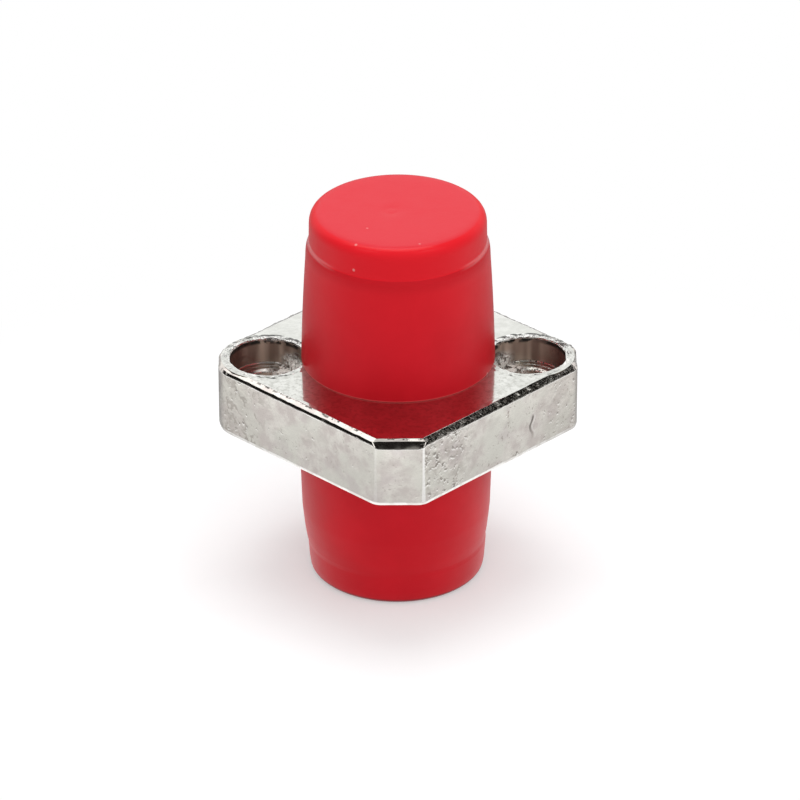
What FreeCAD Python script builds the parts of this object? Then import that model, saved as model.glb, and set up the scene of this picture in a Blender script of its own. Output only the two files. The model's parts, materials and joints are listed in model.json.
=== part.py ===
import FreeCAD, Part
import math
import os

# Lengths are in millimetres. The fibre axis is Z and the screw holes lie along X.
# The origin is on the fibre axis, half way through the flange.

# Screw holes and their head seats
hole_spacing = 12.7
hole_d = 2.2
seat_d = 3.73
seat_depth = 1.35

# Flange
flange_thick = 3.5
seat_wall = 0.525
round_corner_r = 2.8
cut_corner_leg = 1.62
flange_bevel = 0.3
cut_edge_r = 0.15

# Threaded barrels
thread_d = 8.0
barrel_len = 6.3
barrel_lead = 0.5
relief_depth = 0.48
relief_len = 0.9
barrel_wall = 0.98
bore_lead = 0.2
web_thick = 2.6

# Key slots, turned from +X towards a flat side of the flange
key_w = 2.15
key_depth = 3.2
key_corner_r = 0.4
key_angle = -45.0

# Split sleeve
ferrule_d = 2.5
sleeve_wall = 0.35
sleeve_len = 11.4
sleeve_gap = 0.4
sleeve_lead = 0.12

# Sleeve holders
sleeve_side_play = 0.06
sleeve_end_play = 0.1
holder_wall = 0.64
lip_reach = 0.17
lip_thick = 0.55
lip_lead = 0.3
collar_thick = 0.8
collar_clear = 0.03
holder_lead = 0.2

# Dust caps, with heights counted from the rim
cap_height = 8.0
cap_seat_gap = 0.05
cap_clear = 0.03
rim_wall = 0.7
waist_wall = 0.61
waist_height = 3.0
shoulder_wall = 0.43
shoulder_height = 6.35
shoulder_bevel = 0.4
neck_step = 0.14
neck_draft = 0.03
end_round = 0.58
end_wall = 0.8
rim_lead = 0.15
rim_edge = 0.1
inner_bevel = 0.3
dimple_r = 0.6
dimple_depth = 0.08
gate_r = 0.28
gate_height = 0.05

# Sizes that follow from those above
flange_half = flange_thick / 2
web_half = web_thick / 2
thread_r = thread_d / 2
barrel_end = flange_half + barrel_len
barrel_bore_r = thread_r - barrel_wall
sleeve_r = ferrule_d / 2 + sleeve_wall
holder_bore_r = sleeve_r + sleeve_side_play
holder_r = holder_bore_r + holder_wall
lip_z = sleeve_len / 2 + sleeve_end_play / 2
holder_end = lip_z + lip_thick
cap_bore_r = thread_r + cap_clear
cap_rim_z = flange_half + cap_seat_gap

origin = FreeCAD.Vector(0, 0, 0)
along_z = FreeCAD.Vector(0, 0, 1)


def point(r, z):
    return FreeCAD.Vector(r, 0, z)


def line(a, b):
    return Part.makeLine(a, b)


def arc(a, middle, b):
    return Part.Arc(a, middle, b).toShape()


def outline(corners):
    """Straight edges through the corners, left open at the end."""
    return [line(a, b) for a, b in zip(corners, corners[1:])]


def turned(edges):
    """The solid made by turning a closed outline once about the fibre axis."""
    return Part.Face(Part.Wire(edges)).revolve(origin, along_z, 360)


def turned_corners(corners):
    return turned(outline(corners + corners[:1]))


def to_rear(shape):
    """The same shape on the rear side of the flange."""
    return shape.mirror(origin, along_z)


def flange_plate():
    """Square plate on its corner: round where the screws are, cut flat at the other two corners."""
    reach = hole_spacing / 2 + seat_d / 2 + seat_wall
    corner = reach + round_corner_r * (math.sqrt(2) - 1)
    tangent = round_corner_r / math.sqrt(2)
    cut = cut_corner_leg / math.sqrt(2)
    right_low = FreeCAD.Vector(corner - tangent, -tangent, -flange_half)
    right_tip = FreeCAD.Vector(reach, 0, -flange_half)
    right_high = FreeCAD.Vector(corner - tangent, tangent, -flange_half)
    back_right = FreeCAD.Vector(cut, corner - cut, -flange_half)
    back_left = FreeCAD.Vector(-cut, corner - cut, -flange_half)
    half_turn = FreeCAD.Rotation(along_z, 180)
    left = [half_turn.multVec(p) for p in (right_low, right_tip, right_high, back_right, back_left)]
    edges = [
        arc(right_low, right_tip, right_high),
        line(right_high, back_right),
        line(back_right, back_left),
        line(back_left, left[0]),
        arc(left[0], left[1], left[2]),
        line(left[2], left[3]),
        line(left[3], left[4]),
        line(left[4], right_low),
    ]
    plate = Part.Face(Part.Wire(edges)).extrude(along_z * flange_thick)
    rims = [e for e in plate.Edges if is_level(e)]
    beside_cuts = [e for e in plate.Edges if not is_level(e) and abs(e.CenterOfMass.x) < reach / 2]
    bevelled = plate.makeChamfer(flange_bevel, rims)
    softened = plate.makeFillet(cut_edge_r, beside_cuts)
    return bevelled.common(softened).Solids[0]


def is_level(edge):
    """True for an edge that lies flat."""
    return edge.BoundBox.ZLength < flange_bevel / 2


def barrel_blank():
    """Outside of one barrel at its thread's crests, with the run-out groove and a lead chamfer."""
    groove_r = thread_r - relief_depth
    groove_top = flange_half + relief_len
    return turned_corners(
        [
            point(0, 0),
            point(groove_r, 0),
            point(groove_r, groove_top - relief_depth),
            point(thread_r, groove_top),
            point(thread_r, barrel_end - barrel_lead),
            point(thread_r - barrel_lead, barrel_end),
            point(0, barrel_end),
        ]
    )


def barrel_hollow():
    """Space inside one barrel, from the web to the mouth."""
    return turned_corners(
        [
            point(0, web_half),
            point(barrel_bore_r, web_half),
            point(barrel_bore_r, barrel_end - bore_lead),
            point(barrel_bore_r + bore_lead, barrel_end),
            point(0, barrel_end),
        ]
    )


def key_slot():
    """Notch through one side of a barrel's wall, open at the mouth, with rounded bottom corners."""
    inside = barrel_bore_r / 2
    slot = Part.makeBox(
        thread_r,
        key_w,
        key_depth + barrel_lead,
        FreeCAD.Vector(inside, -key_w / 2, barrel_end - key_depth),
    )
    bottom = slot.BoundBox.ZMin
    floor_edges = [e for e in slot.Edges if e.BoundBox.ZMax < bottom + key_corner_r]
    floor_edges = [e for e in floor_edges if e.BoundBox.XLength > key_corner_r]
    slot = slot.makeFillet(key_corner_r, floor_edges)
    slot.rotate(origin, along_z, key_angle)
    return slot


def screw_hole(side):
    """Through hole with a flat seat for the screw's head, on one side of the fibre axis."""
    x = side * hole_spacing / 2
    hole = Part.makeCylinder(hole_d / 2, flange_thick, FreeCAD.Vector(x, 0, -flange_half))
    seat = Part.makeCylinder(seat_d / 2, seat_depth, FreeCAD.Vector(x, 0, flange_half - seat_depth))
    return hole.fuse(seat)


def housing():
    """Die-cast flange with both barrels in one piece."""
    blank = barrel_blank()
    body = flange_plate().fuse([blank, to_rear(blank)])
    hollow = barrel_hollow()
    slot = key_slot()
    web_hole = Part.makeCylinder(holder_r, web_thick, FreeCAD.Vector(0, 0, -web_half))
    cuts = [hollow, to_rear(hollow), slot, to_rear(slot), web_hole, screw_hole(1), screw_hole(-1)]
    return body.cut(cuts).removeSplitter()


def sleeve_holder():
    """Front holder: a tube from the middle of the web, its collar on the web and its lip over the sleeve."""
    lip_r = sleeve_r - lip_reach
    collar_r = barrel_bore_r - collar_clear
    collar_top = web_half + collar_thick
    return turned_corners(
        [
            point(holder_bore_r, 0),
            point(holder_r, 0),
            point(holder_r, web_half),
            point(collar_r, web_half),
            point(collar_r, collar_top),
            point(holder_r, collar_top),
            point(holder_r, holder_end - holder_lead),
            point(holder_r - holder_lead, holder_end),
            point(lip_r + lip_lead, holder_end),
            point(lip_r, holder_end - lip_lead),
            point(lip_r, lip_z),
            point(holder_bore_r, lip_z),
        ]
    )


def split_sleeve():
    """Ceramic tube with one slit along its whole length, standing on the rear holder's lip."""
    ferrule_r = ferrule_d / 2
    half = sleeve_len / 2
    tube = turned_corners(
        [
            point(ferrule_r + sleeve_lead, -half),
            point(sleeve_r, -half),
            point(sleeve_r, half),
            point(ferrule_r + sleeve_lead, half),
            point(ferrule_r, half - sleeve_lead),
            point(ferrule_r, sleeve_lead - half),
        ]
    )
    slit = Part.makeBox(sleeve_r, sleeve_gap, sleeve_len, FreeCAD.Vector(0, -sleeve_gap / 2, -half))
    slit.rotate(origin, along_z, key_angle)
    sleeve = tube.cut(slit)
    sleeve.translate(along_z * (-sleeve_end_play / 2))
    return sleeve


def cap_outside(rim_z):
    """Edges of the cap's outside from the rim to the end: crowned skirt, shoulder, neck, rounded end, gate mark."""
    end_z = rim_z + cap_height
    shoulder_z = rim_z + shoulder_height
    rim = point(cap_bore_r + rim_wall, rim_z + rim_edge)
    waist = point(cap_bore_r + waist_wall, rim_z + waist_height)
    skirt_top = point(cap_bore_r + shoulder_wall, shoulder_z - shoulder_bevel)
    neck_r = cap_bore_r + shoulder_wall - neck_step
    neck_low = point(neck_r, shoulder_z)
    neck_high = point(neck_r - neck_draft, end_z - end_round)
    end_r = neck_r - neck_draft - end_round
    bend = end_round * math.sin(math.pi / 4)
    end_bend = point(end_r + bend, end_z - end_round + bend)
    dimple_floor = end_z - dimple_depth
    gate_top = dimple_floor + gate_height
    return [
        line(point(rim.x - rim_edge, rim_z), rim),
        arc(rim, waist, skirt_top),
        line(skirt_top, neck_low),
        line(neck_low, neck_high),
        arc(neck_high, end_bend, point(end_r, end_z)),
        line(point(end_r, end_z), point(dimple_r, end_z)),
        line(point(dimple_r, end_z), point(gate_r, dimple_floor)),
        line(point(gate_r, dimple_floor), point(gate_r, gate_top)),
        line(point(gate_r, gate_top), point(0, gate_top)),
    ]


def cap_inside(rim_z):
    """Edges of the cap's inside from the end back to the rim, following the barrel and its lead chamfer."""
    floor_z = rim_z + cap_height - end_wall
    lead_z = barrel_end - barrel_lead + cap_seat_gap
    neck_bore_r = cap_bore_r - barrel_lead
    return outline(
        [
            point(0, floor_z),
            point(neck_bore_r - inner_bevel, floor_z),
            point(neck_bore_r, floor_z - inner_bevel),
            point(neck_bore_r, lead_z + barrel_lead),
            point(cap_bore_r, lead_z),
            point(cap_bore_r, rim_z + rim_lead),
            point(cap_bore_r + rim_lead, rim_z),
        ]
    )


def dust_cap():
    """Front cap, pushed on until its rim almost meets the flange."""
    outside = cap_outside(cap_rim_z)
    inside = cap_inside(cap_rim_z)
    middle = line(outside[-1].lastVertex().Point, inside[0].firstVertex().Point)
    rim = line(inside[-1].lastVertex().Point, outside[0].firstVertex().Point)
    return turned(outside + [middle] + inside + [rim])


os.makedirs("parts", exist_ok=True)

holder = sleeve_holder()
cap = dust_cap()
nodes = {
    "housing": housing(),
    "front_sleeve_holder": holder,
    "rear_sleeve_holder": to_rear(holder),
    "split_sleeve": split_sleeve(),
    "front_dust_cap": cap,
    "rear_dust_cap": to_rear(cap),
}
for name, shape in nodes.items():
    shape.exportStep(f"parts/{name}.step")
    print(name, "valid", shape.isValid(), "solids", len(shape.Solids), "volume", round(shape.Volume, 3))
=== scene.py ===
# %% [markdown]
# # A fibre adapter with its two dust caps
# A fibre adapter joins two plugs end to end. Its housing is a nickel-plated casting: a square flange with
# a threaded barrel on each side. A soft red cap keeps the dust out of each barrel. The solids come from a
# CAD model and arrive here as fixed nodes, already in place and in metres. This lesson dresses them: it
# cuts the threads, softens the edges, and gives every piece a finish.

# %% Load the solids
import json
import math

import bmesh
import bpy
from mathutils import Matrix, Vector, noise

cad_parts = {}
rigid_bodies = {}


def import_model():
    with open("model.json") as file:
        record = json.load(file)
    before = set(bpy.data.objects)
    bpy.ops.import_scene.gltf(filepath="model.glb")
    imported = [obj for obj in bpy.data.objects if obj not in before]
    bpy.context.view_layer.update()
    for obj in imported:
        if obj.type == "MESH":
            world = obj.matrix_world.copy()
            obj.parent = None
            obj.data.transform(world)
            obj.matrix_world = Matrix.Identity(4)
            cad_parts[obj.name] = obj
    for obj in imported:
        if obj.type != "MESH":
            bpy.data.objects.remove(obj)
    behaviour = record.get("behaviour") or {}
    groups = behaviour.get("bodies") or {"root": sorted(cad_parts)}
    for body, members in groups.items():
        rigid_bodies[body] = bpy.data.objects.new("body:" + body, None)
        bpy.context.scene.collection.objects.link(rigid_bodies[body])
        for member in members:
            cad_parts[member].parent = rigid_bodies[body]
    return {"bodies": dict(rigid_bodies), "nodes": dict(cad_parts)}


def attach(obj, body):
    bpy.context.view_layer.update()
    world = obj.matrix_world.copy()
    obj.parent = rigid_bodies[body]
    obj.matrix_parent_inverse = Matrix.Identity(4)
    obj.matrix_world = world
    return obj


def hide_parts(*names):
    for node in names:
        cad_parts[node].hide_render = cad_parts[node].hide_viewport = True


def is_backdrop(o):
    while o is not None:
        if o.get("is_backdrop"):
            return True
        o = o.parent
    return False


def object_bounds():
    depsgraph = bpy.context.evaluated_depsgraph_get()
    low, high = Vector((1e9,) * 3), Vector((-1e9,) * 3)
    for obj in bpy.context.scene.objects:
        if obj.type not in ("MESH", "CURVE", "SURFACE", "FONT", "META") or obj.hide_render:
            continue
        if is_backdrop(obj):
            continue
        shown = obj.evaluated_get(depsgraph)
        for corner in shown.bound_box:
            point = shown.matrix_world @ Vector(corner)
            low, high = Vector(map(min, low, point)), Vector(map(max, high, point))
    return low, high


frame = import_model()
cad_box = [list(corner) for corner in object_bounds()]
MM = 0.001
print("solids:", sorted(frame["nodes"]))
print("size in mm:", [round((b - a) / MM, 2) for a, b in zip(*cad_box)])

# %% [markdown]
# ## Shader maths as Python
# A finish is a small calculation: a noise here, a threshold there, one colour laid over another. Drawn as
# boxes and wires it soon gets hard to read, so this class wraps the output of one node. Adding or
# multiplying two of them adds the Math node, and `make` adds any other kind: first its settings, then
# what goes into it. The last few methods are shorthand for the nodes that come up again and again.

# %% A socket that does sums
class Signal:
    """One output of a shader node, for use in sums."""

    def __init__(self, tree, socket=None):
        self.tree = tree
        self.socket = socket

    def make(self, kind, settings=None, inputs=None, output=0):
        """Adds a node, its settings first and then its sockets, and returns one of its outputs."""
        node = self.tree.nodes.new("ShaderNode" + kind)
        for name, value in (settings or {}).items():
            setattr(node, name, value)
        for key, value in (inputs or {}).items():
            self.feed(self.find(node.inputs, key), value)
        return Signal(self.tree, self.find(node.outputs, output) if node.outputs else None)

    def find(self, sockets, key):
        if isinstance(key, int):
            return sockets[key]
        return next(s for s in sockets if key in (s.identifier, s.name))

    def feed(self, socket, value):
        if isinstance(value, Signal):
            self.tree.links.new(value.socket, socket)
        elif socket.type == "RGBA":
            socket.default_value = (*value, 1.0)
        else:
            socket.default_value = value

    def math(self, operation, a, b=0.0):
        return self.make("Math", {"operation": operation}, {0: a, 1: b})

    def __add__(self, other):
        return self.math("ADD", self, other)

    def __radd__(self, other):
        return self.math("ADD", other, self)

    def __sub__(self, other):
        return self.math("SUBTRACT", self, other)

    def __rsub__(self, other):
        return self.math("SUBTRACT", other, self)

    def __mul__(self, other):
        return self.math("MULTIPLY", self, other)

    def __rmul__(self, other):
        return self.math("MULTIPLY", other, self)

    def __abs__(self):
        return self.math("ABSOLUTE", self)

    def most(self, other):
        return self.math("MAXIMUM", self, other)

    def least(self, other):
        return self.math("MINIMUM", self, other)

    def ramp(self, low, high):
        """0 below low and 1 above high, with a soft step between; low may be the larger one."""
        sizes = {"Value": self, "From Min": low, "From Max": high}
        return self.make("MapRange", {"interpolation_type": "SMOOTHSTEP"}, sizes)

    def between(self, a, b):
        """Colour a where this is 0 and colour b where it is 1."""
        sockets = {"Factor_Float": self, "A_Color": a, "B_Color": b}
        return self.make("Mix", {"data_type": "RGBA"}, sockets, "Result_Color")

    def part(self, axis):
        """One coordinate of a vector."""
        return self.make("SeparateXYZ", None, {0: self}, axis)

    def vector(self, operation, other=(0.0, 0.0, 0.0)):
        """Vector Math whose result is a vector."""
        return self.make("VectorMath", {"operation": operation}, {0: self, 1: other}, "Vector")

    def measure(self, operation, other=(0.0, 0.0, 0.0)):
        """Vector Math whose result is a number, such as a distance."""
        return self.make("VectorMath", {"operation": operation}, {0: self, 1: other}, "Value")


print("reflected operators:", [n for n in vars(Signal) if n.startswith("__r")])

# %% [markdown]
# ## Starting a finish
# Every finish begins with an empty material and the position of the point being shaded. The position is
# taken in the object's own space and turned into millimetres, so that a noise scale of 5 means five blobs
# in a millimetre on any piece. Because the position is real, a pit or stain sits on the metal and stays
# there from every side. Colours are then laid one over the other, as a painter does, each through a mask
# from 0 to 1.

# %% Empty material, noises in millimetres and layers of colour
def start_finish(name):
    material = bpy.data.materials.new(name)
    material.use_nodes = True
    material.node_tree.nodes.clear()
    base = Signal(material.node_tree)
    place = base.make("TexCoord", output="Object")
    place = base.make("VectorMath", {"operation": "SCALE"}, {0: place, "Scale": 1 / MM}, "Vector")
    return material, base, place


def cloud(place, per_mm, detail=2.0, rough=0.5):
    """Soft noise from 0 to 1 with that many blobs in a millimetre."""
    sizes = {"Vector": place, "Scale": per_mm, "Detail": detail, "Roughness": rough}
    return place.make("TexNoise", None, sizes, "Fac")


def lay(colour, layers):
    """Lays colours over a first one, each where its mask is up."""
    for mask, over in layers:
        colour = mask.between(colour, over)
    return colour


def bumps(height, depth_mm):
    """Normal of a surface whose height goes from 0 to depth_mm as the signal goes from 0 to 1."""
    sizes = {"Height": height, "Strength": 1.0, "Distance": depth_mm * MM}
    return height.make("Bump", None, sizes, "Normal")


def finish_with(base, inputs):
    shader = base.make("BsdfPrincipled", None, inputs)
    base.make("OutputMaterial", None, {"Surface": shader})


print("noise scales are in blobs per millimetre, 1 mm is", MM, "m")

# %% [markdown]
# ## Meshes from rings
# Nearly every surface here is a stack of rings: the flange is the same outline drawn at different insets,
# and a pocket or a cap is a circle drawn at different radii. So three helpers do most of the work. One
# puts a ring of points into a mesh, one skins a stack of rings with quads, and one fills a flat face that
# has holes in it.

# %% Rings, skins and flat faces
SHARP_DEG = 35.0


def ring(bm, points):
    return [bm.verts.new(Vector(p) * MM) for p in points]


def circle(radius, z, count, x=0.0):
    turns = [2 * math.pi * i / count for i in range(count)]
    return [(x + radius * math.cos(a), radius * math.sin(a), z) for a in turns]


def skin(bm, rings):
    """Quads from each ring to the next."""
    for a, b in zip(rings, rings[1:]):
        for i in range(len(a)):
            bm.faces.new((a[i - 1], a[i], b[i], b[i - 1]))


def fill(bm, loops):
    """A flat face inside the first loop, with the other loops as its holes."""
    edges = []
    for loop in loops:
        for a, b in zip(loop, loop[1:] + loop[:1]):
            edges.append(bm.edges.get((a, b)) or bm.edges.new((a, b)))
    bmesh.ops.triangle_fill(bm, use_beauty=True, use_dissolve=False, edges=edges)


def piece(name, bm, sharp_deg=SHARP_DEG):
    """Closes a mesh as a smooth-shaded object whose edges stay crisp above that angle."""
    bmesh.ops.recalc_face_normals(bm, faces=bm.faces)
    mesh = bpy.data.meshes.new(name)
    bm.to_mesh(mesh)
    bm.free()
    mesh.polygons.foreach_set("use_smooth", [True] * len(mesh.polygons))
    mesh.set_sharp_from_angle(angle=math.radians(sharp_deg))
    made = bpy.data.objects.new(name, mesh)
    bpy.context.scene.collection.objects.link(made)
    return made


print("edges stay crisp above", SHARP_DEG, "degrees")

# %% [markdown]
# ## Rounded profiles and ripples
# A real edge is never perfectly sharp, and shows as a thin line of light. A bevel modifier could round it
# afterwards. Here every profile is rounded before it becomes a mesh, which keeps the rings even and gives
# each edge its own softness. A smooth noise moves points a little where a casting is uneven.

# %% Rounded profiles, shares and ripples
def soften(corners, steps):
    """Rounds a profile of (a, b, cut) corners: cut is how far from the corner the rounding starts."""
    smooth = [corners[0][:2]]
    for before, here, after in zip(corners, corners[1:], corners[2:]):
        middle = Vector(here[:2])
        ends = []
        for other in (before, after):
            way = Vector(other[:2]) - middle
            ends.append(middle + way.normalized() * min(here[2], way.length / 2))
        for k in range(steps + 1):
            t = k / steps
            p = ends[0] * (1 - t) ** 2 + middle * 2 * t * (1 - t) + ends[1] * t**2
            smooth.append(tuple(p))
    return smooth + [corners[-1][:2]]


def share(value, start, end):
    """How far value has come from start, 0, to end, 1."""
    return min(1.0, max(0.0, (value - start) / (end - start)))


def ripple(x, y, z, per_mm):
    """Smooth noise from about -1 to 1."""
    return noise.noise(Vector((x, y, z)) * per_mm)


right_angle = soften([(0, 0, 0), (1, 0, 0.2), (1, 1, 0)], 2)
print("a rounded right angle:", [tuple(round(v, 2) for v in p) for p in right_angle])

# %% [markdown]
# ## The flange
# The flange is a square that stands on its corner. The front and rear corners are cut off flat. The other
# two, where the screws are, end in a short blunt tip whose own corners are rounded, more on the left than
# on the right. Each of the eight sides is a straight line with a direction and a distance from the
# middle, so moving every line inwards by the same amount gives the outline at any height of the bevel.

# %% Outline of the flange at any inset
LONG_SIDE = 6.94
TIP = 8.75
CUT_FACE = 8.66
RIGHT_CORNER_R = 0.8
LEFT_CORNER_R = 1.7
LEAST_R = 0.03
# For each side: direction in degrees, distance from the middle, steps along it, radius of the corner after
# it. The corners next to a cut face have a radius that changes with the height, so it isn't given here.
SIDES = [
    (-45, LONG_SIDE, 70, RIGHT_CORNER_R),
    (0, TIP, 6, RIGHT_CORNER_R),
    (45, LONG_SIDE, 70, None),
    (90, CUT_FACE, 16, None),
    (135, LONG_SIDE, 70, LEFT_CORNER_R),
    (180, TIP, 6, LEFT_CORNER_R),
    (225, LONG_SIDE, 70, None),
    (270, CUT_FACE, 16, None),
]
NEXT_SIDES = SIDES[1:] + SIDES[:1]
TIP_STEPS = 20
BEND_STEPS = 8


def flange_outline(inset, cut_inset, bend):
    """Points round the flange, always the same number; bend is the radius at the ends of the cut faces."""
    arcs = []
    for (direction, here, _, corner_r), (_, after, _, _) in zip(SIDES, NEXT_SIDES):
        a, b = math.radians(direction), math.radians(direction + 45)
        here -= cut_inset if here == CUT_FACE else inset
        after -= cut_inset if after == CUT_FACE else inset
        turn, middle = b - a, (a + b) / 2
        x = (here * math.sin(b) - after * math.sin(a)) / math.sin(turn)
        y = (after * math.cos(a) - here * math.cos(b)) / math.sin(turn)
        radius, steps = (corner_r, TIP_STEPS) if corner_r else (bend, BEND_STEPS)
        radius = max(radius - inset, LEAST_R)
        reach = radius / math.cos(turn / 2)
        cx, cy = x - reach * math.cos(middle), y - reach * math.sin(middle)
        angles = [a + turn * i / steps for i in range(steps + 1)]
        arcs.append([(cx + radius * math.cos(t), cy + radius * math.sin(t)) for t in angles])
    points = []
    for arc, arc_after, (_, _, runs, _) in zip(arcs, arcs[1:] + arcs[:1], NEXT_SIDES):
        (x0, y0), (x1, y1) = arc[-1], arc_after[0]
        points += arc
        points += [(x0 + (x1 - x0) * i / runs, y0 + (y1 - y0) * i / runs) for i in range(1, runs)]
    return points


print("points round the flange:", len(flange_outline(0, 0, 0.3)))

# %% [markdown]
# ## The bevel
# Along its top edge the flange has a bevel of two facets, a shallow one and a steep one below it, and a
# small chamfer along its foot. The cut faces have wider facets than the long sides, so a ring follows two
# profiles and goes from one to the other near the ends of the cut faces. A casting isn't ruled with a
# knife: a noise makes the bevel's edges wander by a few hundredths of a millimetre, most on the edge
# between the facets.

# %% Rings of the flange from the top face to the underside
FLANGE_TOP = 1.75
FLANGE_REACH = 9.0
BEND_TOP, BEND_FOOT = 0.28, 0.5
BEND_GROWS = (-1.1, -1.7)
CUT_ENDS = (1.3, 1.0)
CUT_FROM_Y = 7
FACET_STEPS = 5
BEVEL_RINGS, MIDDLE_EDGE = range(1, 19), range(7, 13)


def flange_profile(flat, first, second, foot):
    """Flat top, a shallow facet, a steep facet, the side and a small chamfer at the foot, all rounded."""
    return soften([
        (flat, FLANGE_TOP, 0),
        (first[0] + second[0], FLANGE_TOP, 0.025),
        (second[0], FLANGE_TOP - first[1], 0.02),
        (0, FLANGE_TOP - first[1] - second[1], 0.035),
        (0, 0, 0),
        (0, foot[1] - FLANGE_TOP, 0.05),
        (foot[0], -FLANGE_TOP, 0.05),
        (flat, -FLANGE_TOP, 0),
    ], FACET_STEPS)


def flange_ring(bm, side, cut, wander, jag):
    """One ring; side and cut are the (inset, z) of the long sides and of the cut faces."""
    low = share(side[1], *BEND_GROWS)
    points = []
    for x, y in flange_outline(side[0], cut[0], BEND_TOP + BEND_FOOT * low * low):
        near_cut = share(abs(x), *CUT_ENDS) if abs(y) > CUT_FROM_Y else 0.0
        z = side[1] + (cut[1] - side[1]) * near_cut
        sway = wander * (ripple(x, y, z, 1.1) + 0.5 * ripple(y, z, x, 3.3))
        sway += jag * (1 - 0.75 * near_cut) * ripple(x, y, 7.0, 5.5)
        points.append((x * (1 + sway / FLANGE_REACH), y * (1 + sway / FLANGE_REACH), z + sway))
    return ring(bm, points)


side_profile = flange_profile(0.55, (0.235, 0.115), (0.1, 0.135), (0.07, 0.2))
cut_profile = flange_profile(0.66, (0.17, 0.083), (0.25, 0.3), (0.11, 0.2))
housing_mesh = bmesh.new()
flange_rings = []
for step, (side, cut) in enumerate(zip(side_profile, cut_profile)):
    wander = 0.02 if 0 < step < len(side_profile) - 1 else 0.0
    jag = 0.028 if step in MIDDLE_EDGE else 0.014 if step in BEVEL_RINGS else 0.0
    flange_rings.append(flange_ring(housing_mesh, side, cut, wander, jag))
skin(housing_mesh, flange_rings)
print("rings down the flange:", len(flange_rings))

# %% [markdown]
# ## The screw pockets
# Each screw hole has a wide seat for the screw's head, sunk from the front, with the ring that the cutter
# left on its floor and a chamfer round the hole. The seat's rim is ragged: plating builds up on the burr
# there, and it catches the light as a broken white line. So the rim's rings get a stronger noise than the
# flange, in and out as well as up and down. Low on the inner side the seat was never cut clean, and a
# lump of rough casting skin leans in from the wall.

# %% Rings of one pocket and its hole
HOLE_X = 6.35
SEAT_R = 1.865
SEAT_FLOOR = 0.4
HOLE_R = 1.1
ROUND = 128
pocket_profile = soften([
    (SEAT_R + 0.42, FLANGE_TOP, 0),
    (SEAT_R + 0.3, FLANGE_TOP, 0.03),
    (SEAT_R + 0.2, FLANGE_TOP, 0.03),
    (SEAT_R + 0.1, FLANGE_TOP, 0.03),
    (SEAT_R, FLANGE_TOP, 0.08),
    (SEAT_R, 1.35, 0.1),
    (SEAT_R, 1.05, 0.1),
    (SEAT_R, 0.75, 0.1),
    (SEAT_R, SEAT_FLOOR, 0.1),
    (1.62, SEAT_FLOOR, 0.02),
    (1.54, SEAT_FLOOR - 0.035, 0.02),
    (1.46, SEAT_FLOOR - 0.035, 0.02),
    (1.4, SEAT_FLOOR, 0.02),
    (1.3, SEAT_FLOOR, 0.03),
    (HOLE_R, SEAT_FLOOR - 0.085, 0.04),
    (HOLE_R, -FLANGE_TOP, 0.05),
    (HOLE_R + 0.1, -FLANGE_TOP, 0),
], 3)
BURR_HEIGHT = 0.25
BURR_OUT, BURR_UP, WALL_WAVE = 0.05, 0.045, 0.008
SKIN_FROM, SKIN_FULL = FLANGE_TOP - 0.3, FLANGE_TOP - 1.2
SKIN_DEPTH, SKIN_ROUGH = 0.5, 0.16


def pocket(bm, side):
    """Rings from the top face down through the hole; returns the top and bottom loops."""
    rings = []
    for step, (radius, z) in enumerate(pocket_profile):
        inner = 0 < step < len(pocket_profile) - 1
        wide = radius > SEAT_R - 0.05
        sunk = share(z, SKIN_FROM, SKIN_FULL) ** 1.7 * wide
        points = []
        for x, y, _ in circle(radius, z, ROUND):
            rim = share(abs(z - FLANGE_TOP), BURR_HEIGHT, 0.0) * wide * inner
            rim *= 0.45 + 0.55 * share(y / radius, -0.5, 0.5)
            ragged = ripple(x + 7 * side, y, 3.0, 1.5) + 0.9 * ripple(x, y + 5 * side, 9.0, 4.5)
            inward = share(-side * x / radius, 0.35, 1.0)
            skin_left = inward * sunk * (SKIN_DEPTH + SKIN_ROUGH * ripple(x, y, z + 4 * side, 4.0))
            grow = 1 + ((BURR_OUT * rim + WALL_WAVE * inner * wide) * ragged - skin_left) / radius
            lift = BURR_UP * rim * ripple(x, y, 20.0 + side, 4.0)
            points.append((side * HOLE_X + x * grow, y * grow, z + lift))
        rings.append(ring(bm, points))
    skin(bm, rings)
    return rings[0], rings[-1]


pocket_loops = [pocket(housing_mesh, side) for side in (-1, 1)]
print("pockets:", len(pocket_loops), "with", len(pocket_profile), "rings each")

# %% [markdown]
# ## The threads
# The plug's nut screws onto an M8 thread with a pitch of 0.75 mm. A thread could be a texture, but when a
# cap is off it is seen from close by, and its outline shows. So its surface is real: rows of points run
# round the barrel as a helix, one row on each edge of the crest and the root and a few on the flanks.
# After one turn row 0 meets row 12, which is what makes it a screw and not a stack of rings. At both ends
# the rows are held at the run-out groove and at the lead chamfer. Both threads are right-handed, so the
# rear one isn't a mirror image.

# %% One thread
PITCH = 0.75
CREST_R = 4.0
ROOT_R = 3.545
GROOVE_R = 3.52
GROOVE_END = 2.17
MOUTH = 8.05
LEAD_R = 3.5
AROUND = 144
CREST_HALF, FLANK, ROOT_END, EDGE_DROP = 0.07, 0.34, 0.59, 0.012
TURN_ROWS = [(-CREST_HALF, CREST_R), (CREST_HALF, CREST_R), (CREST_HALF + 0.015, CREST_R - EDGE_DROP)]
TURN_ROWS += [(CREST_HALF + FLANK * k / 4, CREST_R + (ROOT_R - CREST_R) * k / 4) for k in (1, 2, 3, 4)]
TURN_ROWS += [(0.5, ROOT_R - EDGE_DROP), (ROOT_END, ROOT_R)]
TURN_ROWS += [(ROOT_END + FLANK * k / 4, ROOT_R + (CREST_R - ROOT_R) * k / 4) for k in (1, 2, 3)]


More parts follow.
